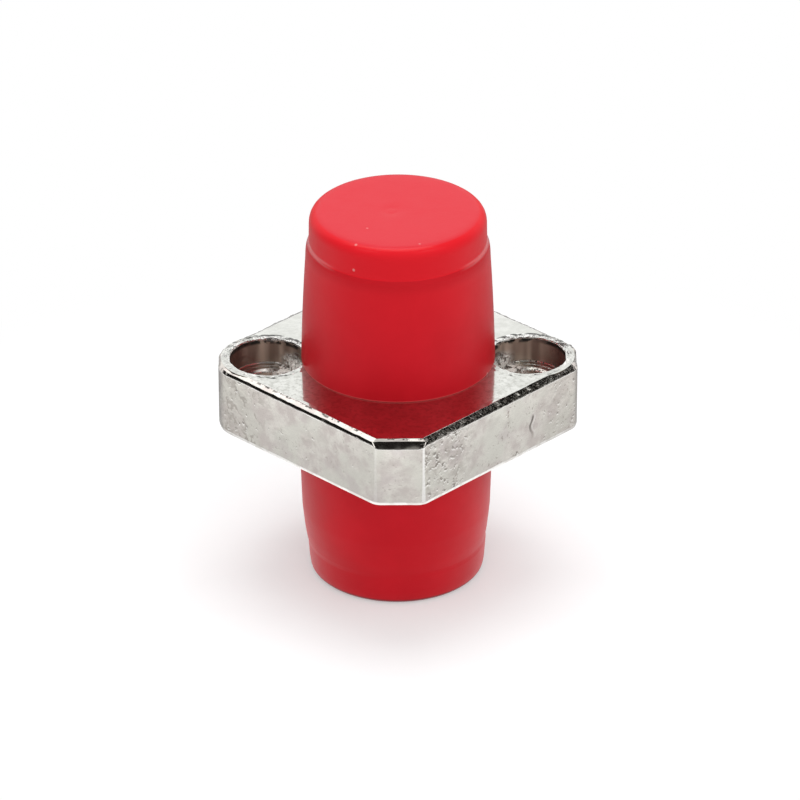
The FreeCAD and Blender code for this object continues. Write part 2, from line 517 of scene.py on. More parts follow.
def thread(bm, side):
    """The helical surface; returns its ring at the groove and its ring at the mouth."""
    low, high = sorted((side * GROOVE_END, side * MOUTH))
    low_r, high_r = (GROOVE_R, LEAD_R) if side > 0 else (LEAD_R, GROOVE_R)
    low_ring = ring(bm, circle(low_r, low, AROUND))
    high_ring = ring(bm, circle(high_r, high, AROUND))
    first = math.floor(low / PITCH) - 2
    last = math.ceil(high / PITCH) + 2
    columns = []
    for i in range(AROUND):
        angle = 2 * math.pi * i / AROUND
        column = []
        for turn in range(first, last):
            for phase, radius in TURN_ROWS:
                z = PITCH * (turn + phase + i / AROUND)
                if z <= low or z >= high:
                    column.append(low_ring[i] if z <= low else high_ring[i])
                    continue
                r = min(radius, LEAD_R + MOUTH - side * z, GROOVE_R + side * z - GROOVE_END)
                column.append(bm.verts.new(Vector((r * math.cos(angle), r * math.sin(angle), z)) * MM))
        columns.append(column)
    one_turn = len(TURN_ROWS)
    for i in range(AROUND):
        here, there = columns[i], columns[(i + 1) % AROUND]
        step = one_turn if i == AROUND - 1 else 0
        for k in range(len(here) - one_turn - 1):
            corners = [here[k], there[k + step], there[k + 1 + step], here[k + 1]]
            distinct = [v for n, v in enumerate(corners) if v not in corners[:n]]
            if len(distinct) > 2:
                bm.faces.new(distinct)
    return (low_ring, high_ring) if side > 0 else (high_ring, low_ring)


print("rows in one turn of the thread:", len(TURN_ROWS))

# %% [markdown]
# ## The barrels
# The rest of a barrel is turned: a foot on the flange, the groove, and inside the mouth a bore that ends
# at a web with a hole in it. The two barrels meet in that hole. With the flat faces filled in, the
# housing is one closed surface, so no edge should have fewer than two faces.

# %% Both barrels and the two flat faces
BORE_R = 3.02
BORE_CHAMFER = 0.2
WEB_HALF = 1.3
WEB_HOLE_R = 2.3
bore_profile = soften([
    (LEAD_R, MOUTH, 0),
    (BORE_R + BORE_CHAMFER, MOUTH, 0.05),
    (BORE_R, MOUTH - BORE_CHAMFER, 0.05),
    (BORE_R, WEB_HALF, 0.08),
    (WEB_HOLE_R, WEB_HALF, 0.05),
    (WEB_HOLE_R, 0, 0),
], 3)


def barrel(bm, side):
    """One barrel from the flange round the mouth to the web's hole; returns its first and last ring."""
    foot = ring(bm, circle(GROOVE_R, side * FLANGE_TOP, AROUND))
    groove, mouth = thread(bm, side)
    skin(bm, [foot, groove])
    inside = [mouth] + [ring(bm, circle(r, side * z, AROUND)) for r, z in bore_profile[1:-1]]
    skin(bm, inside)
    return foot, inside[-1]


front_foot, front_web = barrel(housing_mesh, 1)
rear_foot, rear_web = barrel(housing_mesh, -1)
skin(housing_mesh, [front_web, rear_web])
fill(housing_mesh, [flange_rings[0], pocket_loops[0][0], pocket_loops[1][0], front_foot])
fill(housing_mesh, [flange_rings[-1], pocket_loops[0][1], pocket_loops[1][1], rear_foot])
open_edges = [e for e in housing_mesh.edges if len(e.link_faces) != 2]
print("housing faces:", len(housing_mesh.faces), "open edges:", len(open_edges))

# %% [markdown]
# ## The key slots
# A plug has a small key that must drop into a slot in the barrel's wall, so that it goes in one way
# round. The slot crosses the thread, the mouth and the bore at once, which is awkward to weave into the
# rings by hand. A boolean does it in one go: a small U-shaped block is taken away from each barrel.
# Afterwards the two flat faces of the flange are shaded flat, because smooth shading would smear light
# along their long thin triangles.

# %% Cut the slots
KEY_W = 2.15
KEY_DEPTH = 3.2
KEY_DEG = -45
KEY_CORNER = 0.4
BLOCK_NEAR, BLOCK_FAR, BLOCK_OVER = 1.5, 5.0, 0.6


def slot_block(side):
    half, low, high = KEY_W / 2, MOUTH - KEY_DEPTH, MOUTH + BLOCK_OVER
    shape = [(-half, high, 0), (-half, low, KEY_CORNER), (half, low, KEY_CORNER), (half, high, 0)]
    shape = soften(shape, 6)
    bm = bmesh.new()
    near = ring(bm, [(BLOCK_NEAR, w, side * t) for w, t in shape])
    far = ring(bm, [(BLOCK_FAR, w, side * t) for w, t in shape])
    skin(bm, [near, far])
    bm.faces.new(near)
    bm.faces.new(far)
    bmesh.ops.rotate(bm, verts=bm.verts, matrix=Matrix.Rotation(math.radians(KEY_DEG), 3, "Z"))
    return piece(f"slot_block_{side}", bm)


housing = piece("housing_body", housing_mesh)
blocks = [slot_block(side) for side in (1, -1)]
for block in blocks:
    cut = housing.modifiers.new("key_slot", "BOOLEAN")
    cut.operation = "DIFFERENCE"
    cut.solver = "EXACT"
    cut.object = block
bpy.context.view_layer.update()
cut_housing = housing.evaluated_get(bpy.context.evaluated_depsgraph_get())
cut_mesh = bpy.data.meshes.new_from_object(cut_housing)
housing.modifiers.clear()
housing.data = cut_mesh
cut_mesh.set_sharp_from_angle(angle=math.radians(SHARP_DEG))
for face in cut_mesh.polygons:
    if abs(face.normal.z) > 0.99999 and abs(abs(face.center.z) / MM - FLANGE_TOP) < 0.001:
        face.use_smooth = False
for block in blocks:
    bpy.data.objects.remove(block)
print("faces after the cuts:", len(cut_mesh.polygons))

# %% [markdown]
# ## Profiles of the dust caps
# A cap is a turned shape: a skirt that swells a little towards its rim, a soft step, a narrower neck and
# a rounded end. No two mouldings are quite alike. The front cap has a clear step and a well rounded end.
# The rear one narrows more gently. A profile is a list of radii and heights, so each cap can have its
# own.

# %% Profiles of the two caps
RIM = 1.752
END = 9.8
FRONT_END = END - 0.09
RIM_R = 4.73
RIM_SEAM_R = 4.33
CAP_STEPS = 8
RIM_EDGE = [(RIM_SEAM_R, RIM, 0), (RIM_R - 0.005, RIM, 0.008), (RIM_R, RIM + 0.02, 0.01)]
SKIRT_HEIGHTS = (0.5, 1.2, 2.0, 2.8, 3.6, 4.4, 5.1, 5.5)
FRONT_SKIRT = [(RIM_R - 0.0215 * h - 0.0041 * h * h, h, 0.1) for h in SKIRT_HEIGHTS]
FRONT_STEP = [(4.48, 5.75, 0.08), (4.467, 5.95, 0.08), (4.43, 6.16, 0.06), (4.36, 6.34, 0.03)]
FRONT_STEP += [(4.32, 6.4, 0.05)]
FRONT_NECK = [(4.31, RIM + 6.75, 0.05), (4.29, FRONT_END, 0.68), (3.0, FRONT_END, 0)]
REAR_SKIRT = [(4.72, 1.5), (4.70, 2.5), (4.67, 3.45), (4.635, 4.55), (4.57, 5.2)]
REAR_STEP = [(4.495, 5.85), (4.425, 6.28), (4.4, 6.48), (4.375, 6.9), (4.33, 7.5)]
REAR_SOFT = [(r, h, 0.15) for r, h in REAR_SKIRT + REAR_STEP]
REAR_NECK = [(4.25, END, 0.4), (3.0, END, 0)]


def above_rim(corners):
    """Profile corners whose heights are given from the rim."""
    return [(r, RIM + h, cut) for r, h, cut in corners]


front_outside = soften(RIM_EDGE + above_rim(FRONT_SKIRT + FRONT_STEP) + FRONT_NECK, CAP_STEPS)
rear_outside = soften(RIM_EDGE + above_rim(REAR_SOFT) + REAR_NECK, CAP_STEPS)
cap_inside = soften([
    (RIM_SEAM_R, RIM, 0),
    (4.18, RIM, 0.03),
    (4.03, RIM + 0.15, 0.05),
    (4.03, 7.6, 0.05),
    (3.53, 8.1, 0.05),
    (3.53, END - 0.8, 0.3),
    (0.1, END - 0.8, 0),
], 4)
print("rings outside the caps:", len(front_outside), "and", len(rear_outside))

# %% [markdown]
# ## The dust caps
# In the middle of a cap's end is the gate mark, where the plastic entered the mould: a shallow dimple
# with a stub left in it. On the rear cap the neck stands a hair to one side of the skirt, because the two
# halves of its mould didn't quite meet. A Spin or Screw modifier would turn a profile too, but ring by
# ring, the neck can be slipped sideways and the points of the end face pushed in and out.

# %% Two caps
CAP_AROUND = 160
CAP_SHARP_DEG = 40.0
NECK = (RIM + 6.3, RIM + 6.56)
GATE = (-0.28, 0.02)
DIMPLE_DEPTH, DIMPLE_R = 0.04, 0.5
STUB_HEIGHT, STUB_R, STUB_EDGE = 0.022, 0.22, 0.05
END_RADII = [2.4, 1.8, 1.4] + [1.1 - 0.05 * k for k in range(22)]


def gate_height(x, y):
    """How far the end face stands in or out, in millimetres."""
    d = math.hypot(x - GATE[0], y - GATE[1])
    uneven = STUB_R + 0.05 * ripple(x, y, 1.0, 3.0)
    stub = STUB_HEIGHT / (1 + math.exp((d - uneven) / STUB_EDGE))
    return stub - DIMPLE_DEPTH * math.exp(-((d / DIMPLE_R) ** 2))


def cap(name, side, outside, end, shift, slip):
    """One cap; shift moves its outside along X, and slip moves its neck a little further."""
    bm = bmesh.new()
    rings = []
    for r, z in outside:
        rings.append(ring(bm, circle(r, side * z, CAP_AROUND, shift + slip * share(z, *NECK))))
    for r in END_RADII:
        points = circle(r, 0, CAP_AROUND, shift + slip)
        rings.append(ring(bm, [(x, y, side * (end + gate_height(x, y))) for x, y, _ in points]))
    hollow = [ring(bm, circle(r, side * z, CAP_AROUND)) for r, z in cap_inside[1:]]
    skin(bm, rings)
    skin(bm, [rings[0]] + hollow)
    bm.faces.new(rings[-1])
    bm.faces.new(hollow[-1])
    return piece(name, bm, CAP_SHARP_DEG)


front_cap = cap("front_cap_moulding", 1, front_outside, FRONT_END, 0.025, 0.0)
rear_cap = cap("rear_cap_moulding", -1, rear_outside, END, -0.09, 0.038)
print("cap faces:", len(front_cap.data.polygons), "and", len(rear_cap.data.polygons))

# %% [markdown]
# ## Nickel on a casting
# Bright nickel is a faintly warm mirror. On the flat top it is smooth enough to show the cap upside down.
# On the sides the casting underneath shows through: cloudy patches, and pits where the skin of the
# casting had bubbles. Separate materials would meet in hard lines, so one material does both. It starts
# with masks that say where on the housing a point is and which way the surface faces, and these turn
# every mark up or down.

# %% Plated casting: where a point is
nickel, base, place = start_finish("plated_casting")
facing = base.make("TexCoord", output="Normal")
up = facing.part("Z")
forward = facing.part("Y")
across, deep, high = place.part("X"), place.part("Y"), place.part("Z")
folded = place.vector("ABSOLUTE")
plan = folded.vector("MULTIPLY", (1.0, 1.0, 0.0))
from_screw = plan.measure("DISTANCE", (HOLE_X, 0.0, 0.0))
upright = abs(up).ramp(0.3, 0.1)
seat = from_screw.ramp(1.98, 1.88) * high.ramp(1.76, 1.68)
flat_top = up.ramp(0.96, 0.995) * (1 - seat)
on_flange = high.ramp(1.9, 1.8)
bevel = up.ramp(0.2, 0.4) * up.ramp(0.97, 0.9) * on_flange
corner = folded.part("X").ramp(6.2, 7.8)
print("places: upright sides, seats, flat top, bevels, corners")

# %% Plated casting: clouds and pits
broad = cloud(place, 0.5)
patches = cloud(place, 1.4, 4.0, 0.6)
lumps = cloud(place, 2.6, 3.0, 0.55)
grain = cloud(place, 9.0)
rough_side = across.ramp(1.0, 1.3) * across.ramp(4.4, 2.4)
crowd = (cloud(place, 0.6).ramp(0.5, 0.7) * 0.55).most(corner * 0.6).most(rough_side)
crowd = crowd * (1 - forward.ramp(-0.85, -0.97) * 0.9)
PIT_HIGHLIGHT_SHIFT = 0.06


def pitting(shift):
    """Pits, looked up a little higher or lower; the lower copy gives each pit a painted highlight."""
    moved = place.vector("ADD", (0.0, 0.0, shift))
    small = (cloud(moved, 3.6, 3.0, 0.6) + crowd * 0.15).ramp(0.68, 0.83)
    large = (cloud(moved, 1.8, 4.0, 0.65) + crowd * 0.12).ramp(0.66, 0.82)
    return small.most(large * 0.8) * upright


pits = pitting(0.0)
# a painted highlight just below each pit, as if the pit were lit from above
painted_lip_highlights = (pitting(PIT_HIGHLIGHT_SHIFT) - pits).most(0.0)
print("pits have bright lips", PIT_HIGHLIGHT_SHIFT, "mm to one side")

# %% Plated casting: scratch, swirls and flecks
SCRATCH_X, SCRATCH_SWING = 6.4, 0.07
bend = across - SCRATCH_X - SCRATCH_SWING * base.math("COSINE", (high - 0.15) * 6.0) - 0.1 * patches
mark = high.ramp(-1.3, -0.1) * high.ramp(0.3, 0.1) * across.ramp(6.9, 6.7) * deep.ramp(-2.0, -2.5)
scratch = abs(bend).ramp(0.075, 0.025) * mark
# a painted highlight along the right side of the scratch
painted_scratch_glint = bend.ramp(0.06, 0.1) * bend.ramp(0.17, 0.12) * mark
curl = cloud(place, 1.0, 3.0, 0.55) - 0.5
swirl = abs(curl).ramp(0.07, 0.015) * across.ramp(-5.9, -7.1) * patches.ramp(0.42, 0.54) * upright
fleck = cloud(place, 6.5).ramp(0.58, 0.72) * cloud(place, 0.8).ramp(0.4, 0.62) * upright
print("a bent scratch at x =", SCRATCH_X, "mm, swirls near the left tip, flecks on the sides")

# %% Plated casting: colour of the sides and the top
WARM_GREY, PALE_GREY, MILKY = (0.585, 0.535, 0.505), (0.71, 0.68, 0.63), (0.67, 0.66, 0.6)
STAIN, LUMP_GREY, CORNER_GREY = (0.56, 0.5, 0.49), (0.46, 0.425, 0.385), (0.46, 0.43, 0.39)
PIT_DIRT_AND_SHADE, SWIRL_BROWN, FLECK_BROWN = (0.22, 0.195, 0.17), (0.33, 0.3, 0.27), (0.3, 0.265, 0.235)
PIT_HIGHLIGHT_WHITE, PAINTED_GLINT_WHITE, SCRATCH_DARK = (0.95, 0.935, 0.9), (0.95, 0.94, 0.92), (0.14, 0.125, 0.11)
TOP_GREY, TOP_PALE, TOP_DULL = (0.6, 0.605, 0.57), (0.69, 0.695, 0.66), (0.42, 0.42, 0.385)
side_tint = lay(patches.ramp(0.36, 0.64).between(WARM_GREY, PALE_GREY), [
    (broad.ramp(0.45, 0.62) * 0.8, MILKY),
    (cloud(place, 0.75, 3.0).ramp(0.55, 0.68) * 0.5, STAIN),
    (lumps.ramp(0.4, 0.7) * crowd * 0.6, LUMP_GREY),
    (corner * upright * 0.3, CORNER_GREY),
    # the pits are darkened, partly as dirt and partly as painted shade in the hollows
    (pits * 0.85, PIT_DIRT_AND_SHADE),
    (swirl * 0.62, SWIRL_BROWN),
    (fleck * (0.35 + 0.35 * across.ramp(0.0, 2.0)), FLECK_BROWN),
    # painted highlight below each pit
    ((painted_lip_highlights * 1.2).least(0.7), PIT_HIGHLIGHT_WHITE),
    (scratch * 0.85, SCRATCH_DARK),
    # painted highlight beside the scratch
    (painted_scratch_glint * 0.35, PAINTED_GLINT_WHITE),
])
dull_front = cloud(place, 4.0, 3.0, 0.6).ramp(0.45, 0.65) * deep.ramp(0.5, -1.0) * 0.6
top_tint = lay(patches.ramp(0.35, 0.65).between(TOP_GREY, TOP_PALE), [(dull_front, TOP_DULL)])
print("the sides go from", WARM_GREY, "to", PALE_GREY)

# %% [markdown]
# ## Edges and pockets of the casting
# The brightest lines on the part run along its edges, partly wear and partly a painted highlight, and on
# the right the bevel is speckled black where the plating is thin. A pocket's wall is brown and half dull
# with upright streaks, with a painted reflection of the red cap on its outer side and painted shade under
# the rim. The casting skin at its inner side is crumbly and pale: there Metallic goes down, so that the
# patch scatters light from all round instead of mirroring the dark pocket.

# %% Plated casting: edges
foot = up.ramp(-0.06, -0.2) * up.ramp(-0.97, -0.85)
foot = foot * (0.35 + 0.65 * cloud(place, 1.6, 3.0).ramp(0.42, 0.56))
top_edge = up.ramp(0.999, 0.993) * up.ramp(0.93, 0.965)
lower_edge = up.ramp(0.03, 0.1) * up.ramp(0.4, 0.25)
front_edge = forward.ramp(-0.99, -0.95) * forward.ramp(-0.78, -0.84) * upright * across.ramp(-2.0, 1.0)
# bright lines along the edges: partly wear, partly a painted highlight where the edges catch the light
edge_wear_and_highlight = top_edge.most(foot).most(lower_edge).most(front_edge)
edge_wear_and_highlight = edge_wear_and_highlight * (0.75 + 0.5 * lumps) * (1 - seat) * on_flange
right_bevel = bevel * across.ramp(0.8, 1.6)
speckle = cloud(place, 10.0).ramp(0.53, 0.63) * right_bevel
nick = cloud(place, 3.2, 3.0, 0.6).ramp(0.5, 0.56) * high.ramp(1.685, 1.715) * bevel * (1 - corner)
print("edges: worn, speckled, nicked")

# %% Plated casting: pockets
WALL_BROWN, WALL_TAN, WALL_PAINTED_CAP_REFLECTION = (0.28, 0.2, 0.16), (0.8, 0.65, 0.53), (0.13, 0.055, 0.045)
WALL_SHADE = (0.02, 0.017, 0.014)
SKIN_MIDDLE = (5.0, 0.1, 0.7)
skin_patch = folded.measure("DISTANCE", SKIN_MIDDLE).ramp(1.95, 1.4) * seat * high.ramp(1.25, 0.75)
skin_light = skin_patch * cloud(place, 4.0).ramp(0.36, 0.54)
burr = from_screw.ramp(1.82, 1.9) * from_screw.ramp(2.35, 2.0) * high.ramp(1.5, 1.65)
burr = burr * (0.25 + 0.75 * deep.ramp(-0.4, 0.8))
outer = folded.part("X").ramp(6.2, 7.9)
# painted shade under the pocket's rim, strongest on its outer side
painted_shade_under_rim = outer.most(deep.ramp(0.2, 0.9) * cloud(place, 2.2, 3.0).ramp(0.44, 0.54)) * high.ramp(1.4, 1.56)
streaks = cloud(place.vector("MULTIPLY", (1.0, 1.0, 0.1)), 1.1).ramp(0.35, 0.65)
# the outer side of the wall gets a painted reflection of the red cap, and its top painted shade
wall = lay(streaks.between(WALL_BROWN, WALL_TAN), [(outer * 0.9, WALL_PAINTED_CAP_REFLECTION), (painted_shade_under_rim, WALL_SHADE)])
print("casting skin round", SKIN_MIDDLE, "mm, left and right")

# %% Plated casting: all colours, relief and gloss
SKIN_DARK, SKIN_PALE, BURR_DARK = (0.12, 0.1, 0.085), (1.0, 0.96, 0.9), (0.12, 0.1, 0.09)
EDGE_WEAR_AND_HIGHLIGHT_WHITE, SPECKLE_BLACK, NICK_BLACK = (0.9, 0.885, 0.86), (0.05, 0.045, 0.036), (0.04, 0.035, 0.03)
RELIEF_MM = 0.04
tint = lay(side_tint, [
    (flat_top, top_tint),
    (seat * upright, wall),
    (skin_patch * 0.5, SKIN_DARK),
    (skin_light, SKIN_PALE),
    (burr * lumps.ramp(0.52, 0.6), BURR_DARK),
    # edge wear and painted edge highlights
    (edge_wear_and_highlight.least(0.9), EDGE_WEAR_AND_HIGHLIGHT_WHITE),
    (speckle, SPECKLE_BLACK),
    (nick * 0.9, NICK_BLACK),
])
ground = (patches * 0.5 + lumps * crowd * 1.5 + grain * 0.06) * (1 - 0.85 * flat_top) * (1 - 0.9 * bevel)
dents = pits * 0.3 + swirl * 0.25 + fleck * 0.12 + scratch * 0.4
crumbs = skin_patch * cloud(place, 6.0, 3.0, 0.6) * 5.0 + burr * lumps * 3.0 + right_bevel * grain * 0.25
rough = 0.19 - 0.12 * up.ramp(0.2, 0.4) * (1 - seat) + 0.1 * seat * upright - 0.06 * skin_patch
finish_with(base, {
    "Base Color": tint,
    "Metallic": 1.0 - (0.5 * seat * upright).most(0.75 * skin_light) - 0.8 * speckle,
    "Roughness": rough + grain * 0.05,
    "Normal": bumps(ground - dents + crumbs, RELIEF_MM),
})
print("nodes in the plated casting:", len(nickel.node_tree.nodes))

# %% [markdown]
# ## Turned nickel and ceramic
# The two sleeve holders are turned on a lathe and plated, so they carry fine rings from the tool. A wave
# texture along the axis gives the rings. The split sleeve is zirconia, a dense white ceramic ground to a
# shine: almost no texture, only a faint cloudiness and a few grinding lines.

# %% Turned and plated
TURNED_WARM, TURNED_PALE = (0.63, 0.59, 0.52), (0.72, 0.685, 0.61)


def tool_lines(place, scale, waver, detail):
    """Fine rings round the axis, as a lathe or a grinding wheel leaves them."""
    sizes = {"Vector": place, "Scale": scale, "Distortion": waver, "Detail": detail}
    return place.make("TexWave", {"bands_direction": "Z"}, sizes, "Fac")


turned, base, place = start_finish("turned_nickel")
haze = cloud(place, 1.6, 3.0)
finish_with(base, {
    "Base Color": haze.ramp(0.3, 0.75).between(TURNED_WARM, TURNED_PALE),
    "Metallic": 1.0,
    "Roughness": 0.16 + haze * 0.16,
    "Normal": bumps(tool_lines(place, 2.6, 0.4, 1.0) * 0.6 + haze * 0.4, 0.006),
})
print("nodes in the turned nickel:", len(turned.node_tree.nodes))

# %% Ground ceramic
CERAMIC_WARM, CERAMIC_WHITE = (0.83, 0.815, 0.78), (0.89, 0.885, 0.86)
zirconia, base, place = start_finish("ground_zirconia")
haze = cloud(place, 1.2, 3.0)
finish_with(base, {
    "Base Color": haze.ramp(0.3, 0.7).between(CERAMIC_WARM, CERAMIC_WHITE),
    "Roughness": 0.14 + haze * 0.14,
    "Normal": bumps(tool_lines(place, 6.0, 1.5, 2.0) * 0.5 + haze * 0.5, 0.003),
    "Subsurface Weight": 0.12,
    "Subsurface Radius": (0.4, 0.35, 0.3),
    "Subsurface Scale": 0.0005,
})
print("nodes in the zirconia:", len(zirconia.node_tree.nodes))

# %% [markdown]
# ## Soft red plastic
# The caps are moulded in a soft plastic with a satin skin. Its red is deep and even, with a faint
# marbling from the flow in the mould, and light and shade are painted into it: lighter higher up, a sheen
# on the end, shade at the ledge and low on the rear cap, highlights at the lip and the rim. The skin has a
# fine grain, which spreads the highlights, and here and there a speck of dust sticks to it. Where a mould
# is polished, at the lip above the step and on the shoulder of the end, a thin coat gives a sharper shine.
# The colour of a plastic's shine is white at a glancing angle, and in a strongly coloured soft plastic it
# looks a little tinted when seen straight on, which the specular tint gives.

# %% Satin red: where a point is
red, base, place = start_finish("satin_red")
across, high = place.part("X"), place.part("Z")
level = base.make("TexCoord", output="Normal").part("Z")
rim = abs(high).ramp(1.83, 1.78)
ledge = high.ramp(7.3, 7.95) * high.ramp(8.13, 8.1)
lip = high.ramp(7.98, 8.08) * high.ramp(8.3, 8.18) * abs(across).ramp(2.9, 3.7)
neck = high.ramp(8.07, 8.17)
flat_end = level.ramp(0.9, 0.99)
shoulder = level.ramp(0.985, 0.945) * level.ramp(0.6, 0.8)
shoulder = shoulder * high.ramp(8.9, 9.1) * abs(across).ramp(3.0, 1.4)
print("places on the caps: rims, ledge, lip, neck, flat end, shoulder")

# %% Satin red: dust
SPECKS = [(-1.46, -1.84, 9.76), (-2.0, -3.42, 9.62), (-2.13, -3.75, 8.45)]
SPECKS += [(1.03, -3.5, 9.66), (4.29, -1.97, 1.82)]
scattered = base.make("TexVoronoi", {"feature": "F1"}, {"Vector": place, "Scale": 0.9}, "Distance")
dust = scattered.ramp(0.055, 0.035) * cloud(place, 0.7, 0.0).ramp(0.64, 0.7)
for spot in SPECKS:
    dust = dust.most(place.measure("DISTANCE", spot).ramp(0.1, 0.04))
print("specks placed by hand:", len(SPECKS))

# %% Satin red: colour, gloss and grain
RED_DEEP, RED_FLOW, RED_UPPER_PAINTED_LIGHT = (0.585, 0.006, 0.013), (0.645, 0.0075, 0.016), (0.73, 0.0095, 0.017)
RED_NECK_PAINTED_LIGHT, RED_END_PAINTED_SHEEN, RED_LEDGE_PAINTED_SHADE = (0.74, 0.0085, 0.016), (0.7, 0.03, 0.044), (0.2, 0.0, 0.002)
RED_LIP_PAINTED_HIGHLIGHT, RED_FOOT_PAINTED_SHADOW, RED_LOW_PAINTED_SHADE = (0.85, 0.3, 0.3), (0.08, 0.0, 0.003), (0.3, 0.0, 0.005)
RED_RIM_PAINTED_HIGHLIGHT, DUST_PINK = (0.8, 0.16, 0.15), (0.85, 0.5, 0.48)
flow = cloud(place, 0.35, 3.0, 0.55)
grain = cloud(place, 14.0, 3.0, 0.6)
soft = cloud(place, 1.3)
# over the marbled red, light and shade are painted into the colour, layer by layer
shade = lay(flow.ramp(0.3, 0.7).between(RED_DEEP, RED_FLOW), [
    # painted light: the skirt lighter towards its top
    (high.ramp(3.6, 7.2) * 0.5, RED_UPPER_PAINTED_LIGHT),
    # painted light: the neck lighter still
    (neck, RED_NECK_PAINTED_LIGHT),
    # painted light and sheen: the flat end pinker, as the shine of the white room
    (flat_end, RED_END_PAINTED_SHEEN),
    # painted shade: a dark band at the ledge under the step
    (ledge * 0.22, RED_LEDGE_PAINTED_SHADE),
    # painted highlight: a pale streak along the lip at the sides
    (lip * 0.22, RED_LIP_PAINTED_HIGHLIGHT),
    # painted shadow: a dark line at the rear cap's foot where it meets the table
    (high.ramp(-9.5, -9.66) * 0.85, RED_FOOT_PAINTED_SHADOW),
    # painted shade: the rear cap darker towards its foot
    (high.ramp(-7.0, -9.5) * 0.12, RED_LOW_PAINTED_SHADE),
    # painted highlight: a light line round each rim where it meets the flange
    (rim * 0.4, RED_RIM_PAINTED_HIGHLIGHT),
    (dust * 0.45, DUST_PINK),
])
finish_with(base, {
    "Base Color": shade,
    "Roughness": 0.36 + grain * 0.1 + soft * 0.06,
    "Coat Weight": lip * 0.7 + shoulder * 0.45,
    "Coat Roughness": 0.12,
    "IOR": 1.5,
    "Specular Tint": (1.0, 0.25, 0.3),
    "Normal": bumps(grain * 0.25 + soft * 0.75 + dust * 0.8, 0.012),
})
print("nodes in the red:", len(red.node_tree.nodes))

# %% [markdown]
# ## Put the pieces on their bodies
# The housing and the caps now have better meshes than the plain solids, so each stands for its own CAD
# node and rides on that node's body. The holders and the sleeve have the right shape already, and only
# get their finish.

# %% Ride, replace and paint
DRESS = [
    (housing, "housing", "housing", "plated_zinc", nickel),
    (front_cap, "front_cap", "front_dust_cap", "red_plastic", red),
    (rear_cap, "rear_cap", "rear_dust_cap", "red_plastic", red),
]
PAINT = [("front_sleeve_holder", turned), ("rear_sleeve_holder", turned), ("split_sleeve", zirconia)]
for made, body, node, slot, finish in DRESS:
    made.data.materials.clear()
    made.data.materials.append(finish)
    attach(made, body)
    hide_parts(node)
for node, finish in PAINT:
    for slot in frame["nodes"][node].material_slots:
        slot.material = finish
print("dressed:", [made.name for made, *_ in DRESS], "painted:", [node for node, _ in PAINT])

# %% [markdown]
# ## A white table
# The part stands on white paper. Paper that is simply lit would come out pale grey, so for the camera
# some of its white is given as light of its own: then it reaches full white in the open and still keeps
# the soft shadow. The metal mirrors the table too. For mirrors it is a plain glow, brighter near the part
# and far away, and darker behind, which gives the sides of the flange their shades of grey. The table
# moves with the rear cap, which is what stands on it.

# %% Rays and greys
def rays(base):
    """Two signals: 1 for rays from the camera, and 1 for rays from mirrors and glass."""
    mirror = base.make("LightPath", output="Is Glossy Ray")
    glass = base.make("LightPath", output="Is Transmission Ray")
    return base.make("LightPath", output="Is Camera Ray"), mirror.most(glass)


def grey(level):
    return (level, level, level)


def doubled(half):
    """Grey light of twice that level: a Mix factor ends at 1, and lights may be brighter."""
    return half.between(grey(0.0), grey(2.0))


print("half of white is", grey(0.5))

# %% White paper
PAPER_DARK, PAPER_PALE = (0.66, 0.655, 0.66), (0.68, 0.675, 0.68)
PAPER_GLOW, PAPER_BOUNCE = grey(0.335), grey(0.62)
paper, base, place = start_finish("white_paper")
seen, mirror = rays(base)
away = place.measure("LENGTH")
behind = place.part("Y").ramp(2.0, 18.0)
tone = cloud(place, 0.6, 4.0).between(PAPER_DARK, PAPER_PALE)
lit = base.make("BsdfPrincipled", None, {"Base Color": tone, "Roughness": 1.0, "Specular IOR Level": 0.0})
glow = base.make("Emission", None, {"Color": PAPER_GLOW})
near = base.make("AddShader", None, {0: lit, 1: glow})
far = base.make("Emission", None, {"Color": grey(1.0)})
look = base.make("MixShader", None, {0: away.ramp(20.0, 34.0), 1: near, 2: far})
graded = (0.41 + 0.18 * away.ramp(17.0, 13.5) + 0.2 * away.ramp(18.0, 44.0)) * (1 - 0.5 * behind)
mirrored = base.make("Emission", None, {"Color": doubled(graded)})
bounce = base.make("BsdfDiffuse", None, {"Color": PAPER_BOUNCE})
surface = base.make("MixShader", None, {0: mirror, 1: bounce, 2: mirrored})
surface = base.make("MixShader", None, {0: seen, 1: surface, 2: look})
base.make("OutputMaterial", None, {"Surface": surface})
print("nodes in the paper:", len(paper.node_tree.nodes))

# %% Floor
FLOOR_RADII = [15.0, 45.0, 150.0, 450.0, 1500.0]
floor_z = cad_box[0][2] / MM
floor_mesh = bmesh.new()
floor_rings = [ring(floor_mesh, circle(r, floor_z, 64)) for r in FLOOR_RADII]
skin(floor_mesh, floor_rings)
floor_mesh.faces.new(floor_rings[0])
floor = piece("floor", floor_mesh)
floor.data.materials.append(paper)
floor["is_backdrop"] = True
floor.parent = frame["bodies"]["rear_cap"]
print("floor at", round(floor_z, 2), "mm")

# %% [markdown]
# ## The room
# Metal shows the room. The bevels of the real flange are black because they look up into a dark room,
# while its top and sides are bright because they look at a white sweep behind and the table around. So
# mirrors see a dark room with a sweep behind, a dim strip at its foot, low bands of light round the table
# and in front, a dimmer card overhead and another in front, and a few bright cards that light single
# facets: one at the left, one above, one at each front corner. Matt surfaces see plain soft light with
# more of it from the front, and the camera sees white.

